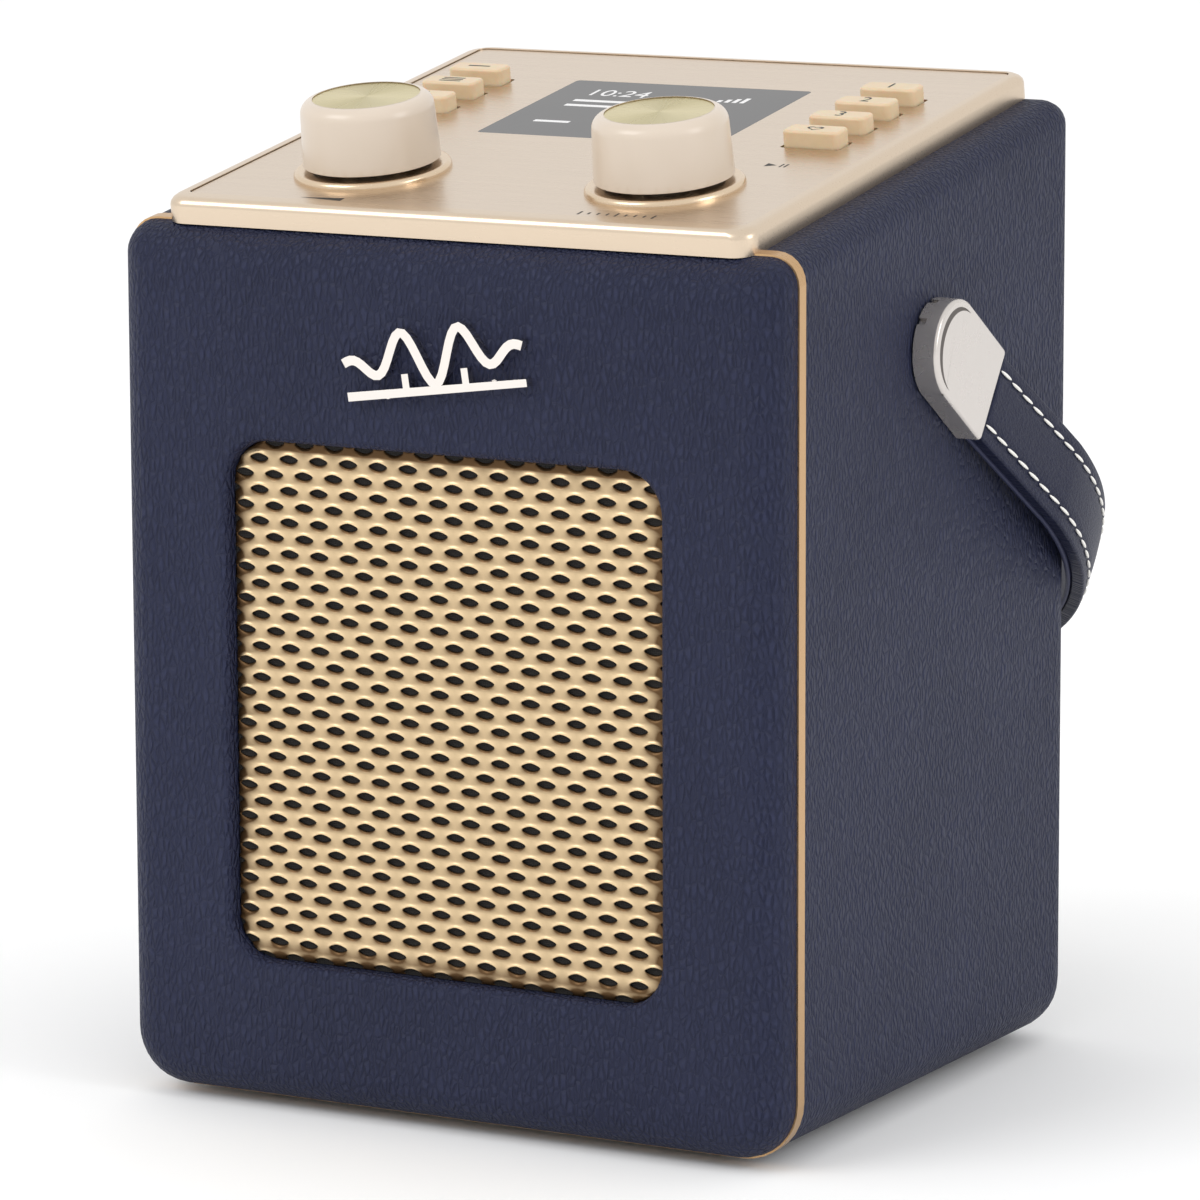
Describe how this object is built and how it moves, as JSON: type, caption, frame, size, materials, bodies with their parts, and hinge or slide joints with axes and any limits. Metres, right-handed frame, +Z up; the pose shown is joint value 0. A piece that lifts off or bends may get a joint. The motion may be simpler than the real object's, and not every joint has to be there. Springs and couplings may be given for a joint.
{
  "type": "leather portable radio",
  "caption": "Small portable radio: sloping-top leather cabinet with square speaker window, metal top plate, turning knobs, buttons, rear aerial and a swinging strap handle.",
  "frame": {"origin": "centre of the rubber feet's plane, on the surface the radio stands on, midway between the cabinet's front and back faces", "axes": "+X to the radio's own left as seen from in front, that is to the right of someone facing the speaker; +Y from the speaker face to the back; +Z up"},
  "size_m": [0.1308, 0.1508, 0.1617],
  "materials": {
    "leather": "navy grained leathercloth, satin",
    "strap_leather": "navy leather with white stitching",
    "lining_leather": "navy lining leather",
    "champagne": "champagne anodised, satin",
    "plate": "champagne anodised, brushed across",
    "piping": "gold piping",
    "ivory": "ivory moulding, semi-gloss",
    "disc": "pale spun brass",
    "chrome": "bright plated zinc casting",
    "grille": "gold-plated expanded metal",
    "cloth": "black acoustic cloth",
    "glass": "smoked window with lit digits",
    "rear": "fine spark texture",
    "rubber": "matt",
    "board": "green solder mask",
    "black": "black moulding",
    "steel": "zinc plated",
    "nickel": "nickel plated brass tube",
    "ferrite": "ferrite ring magnet",
    "basket": "pressed steel, painted",
    "paper": "treated paper",
    "copper": "enamelled copper winding",
    "bush": "turned brass",
    "cell": "plain green sleeve"
  },
  "bodies": {
    "cabinet": {"cabinet_shell": "leather", "front_panel": "leather", "trim_strip": "piping", "rear_panel": "rear", "rear_screws": "steel", "speaker_screws": "steel", "board_screws": "steel", "volume_encoder": "steel", "tuning_encoder": "steel", "tuner_module": "steel", "battery_contacts": "steel", "feet": "rubber", "top_bezel": "champagne", "volume_collar": "champagne", "tuning_collar": "champagne", "top_plate": "plate", "display_window": "glass", "display_module": "black", "key_switches": "black", "dc_socket": "black", "headphone_socket": "black", "battery_tray": "black", "control_board": "board", "main_board": "board", "badge": "chrome", "speaker_grille": "grille", "grille_cloth": "cloth", "speaker_frame": "basket", "speaker_magnet": "ferrite", "batteries": "cell", "pivot_bushes": "bush"},
    "volume_switch": {"volume_plunger": "black"},
    "volume_control": {"volume_shaft": "steel", "volume_knob": "ivory", "volume_disc": "disc"},
    "tuning_switch": {"tuning_plunger": "black"},
    "tuning_control": {"tuning_shaft": "steel", "tuning_knob": "ivory", "tuning_disc": "disc"},
    "preset_one": {"preset_one_button": "ivory"},
    "preset_two": {"preset_two_button": "ivory"},
    "preset_three": {"preset_three_button": "ivory"},
    "favourite": {"favourite_button": "ivory"},
    "mode": {"mode_button": "ivory"},
    "menu": {"menu_button": "ivory"},
    "info": {"info_button": "ivory"},
    "speaker_motion": {"speaker_cone": "paper", "voice_coil": "copper"},
    "door": {"battery_door": "rear"},
    "aerial_swivel_part": {"aerial_base": "nickel"},
    "aerial_first": {"aerial_elbow": "nickel", "aerial_tube_one": "nickel"},
    "aerial_second": {"aerial_tube_two": "nickel"},
    "aerial_third": {"aerial_tube_three": "nickel"},
    "aerial_last": {"aerial_rod": "nickel"},
    "handle": {"strap": "strap_leather", "strap_lining": "lining_leather", "arm_left": "chrome", "arm_right": "chrome", "pivot_nuts": "steel"}
  },
  "joints": [
    {"name": "volume_push", "type": "slide", "parent": "cabinet", "child": "volume_switch", "axis": [0, 0.1599, -0.9871], "range_m": [0, 0.0005], "stiffness_N_per_m": 2000},
    {"name": "volume_turn", "type": "hinge", "parent": "volume_switch", "child": "volume_control", "pos_m": [-0.0262, -0.02754, 0.14427], "axis": [0, -0.1599, 0.9871], "continuous": true},
    {"name": "tuning_push", "type": "slide", "parent": "cabinet", "child": "tuning_switch", "axis": [0, 0.1599, -0.9871], "range_m": [0, 0.0005], "stiffness_N_per_m": 2000},
    {"name": "tuning_turn", "type": "hinge", "parent": "tuning_switch", "child": "tuning_control", "pos_m": [0.0262, -0.02754, 0.14427], "axis": [0, -0.1599, 0.9871], "continuous": true},
    {"name": "preset_one_press", "type": "slide", "parent": "cabinet", "child": "preset_one", "axis": [0, 0.1599, -0.9871], "range_m": [0, 0.0006], "stiffness_N_per_m": 300},
    {"name": "preset_two_press", "type": "slide", "parent": "cabinet", "child": "preset_two", "axis": [0, 0.1599, -0.9871], "range_m": [0, 0.0006], "stiffness_N_per_m": 300},
    {"name": "preset_three_press", "type": "slide", "parent": "cabinet", "child": "preset_three", "axis": [0, 0.1599, -0.9871], "range_m": [0, 0.0006], "stiffness_N_per_m": 300},
    {"name": "favourite_press", "type": "slide", "parent": "cabinet", "child": "favourite", "axis": [0, 0.1599, -0.9871], "range_m": [0, 0.0006], "stiffness_N_per_m": 300},
    {"name": "mode_press", "type": "slide", "parent": "cabinet", "child": "mode", "axis": [0, 0.1599, -0.9871], "range_m": [0, 0.0006], "stiffness_N_per_m": 300},
    {"name": "menu_press", "type": "slide", "parent": "cabinet", "child": "menu", "axis": [0, 0.1599, -0.9871], "range_m": [0, 0.0006], "stiffness_N_per_m": 300},
    {"name": "info_press", "type": "slide", "parent": "cabinet", "child": "info", "axis": [0, 0.1599, -0.9871], "range_m": [0, 0.0006], "stiffness_N_per_m": 300},
    {"name": "cone_travel", "type": "slide", "parent": "cabinet", "child": "speaker_motion", "axis": [0, -1, 0], "range_m": [-0.001, 0.001], "stiffness_N_per_m": 800},
    {"name": "handle_swing", "type": "hinge", "parent": "cabinet", "child": "handle", "pos_m": [0, -0.0009, 0.1218], "axis": [1, 0, 0], "range_deg": [0, 240]},
    {"name": "battery_door_open", "type": "hinge", "parent": "cabinet", "child": "door", "pos_m": [-0.008, 0.0522, 0.0303], "axis": [-1, 0, 0], "range_deg": [0, 85]},
    {"name": "aerial_swivel", "type": "hinge", "parent": "cabinet", "child": "aerial_swivel_part", "pos_m": [-0.039, 0.053, 0.1296], "axis": [0, -1, 0], "range_deg": [0, 180]},
    {"name": "aerial_tilt", "type": "hinge", "parent": "aerial_swivel_part", "child": "aerial_first", "pos_m": [-0.039, 0.0597, 0.1296], "axis": [0, 0, 1], "range_deg": [0, 90]},
    {"name": "aerial_extend", "type": "slide", "parent": "aerial_first", "child": "aerial_second", "axis": [1, 0, 0], "range_m": [0, 0.066]},
    {"name": "aerial_extend_third", "type": "slide", "parent": "aerial_second", "child": "aerial_third", "axis": [1, 0, 0], "range_m": [0, 0.066]},
    {"name": "aerial_extend_last", "type": "slide", "parent": "aerial_third", "child": "aerial_last", "axis": [1, 0, 0], "range_m": [0, 0.066]}
  ],
  "couplings": [
    {"joint": "aerial_extend_third", "follows": "aerial_extend", "ratio": 1},
    {"joint": "aerial_extend_last", "follows": "aerial_extend", "ratio": 1}
  ]
}
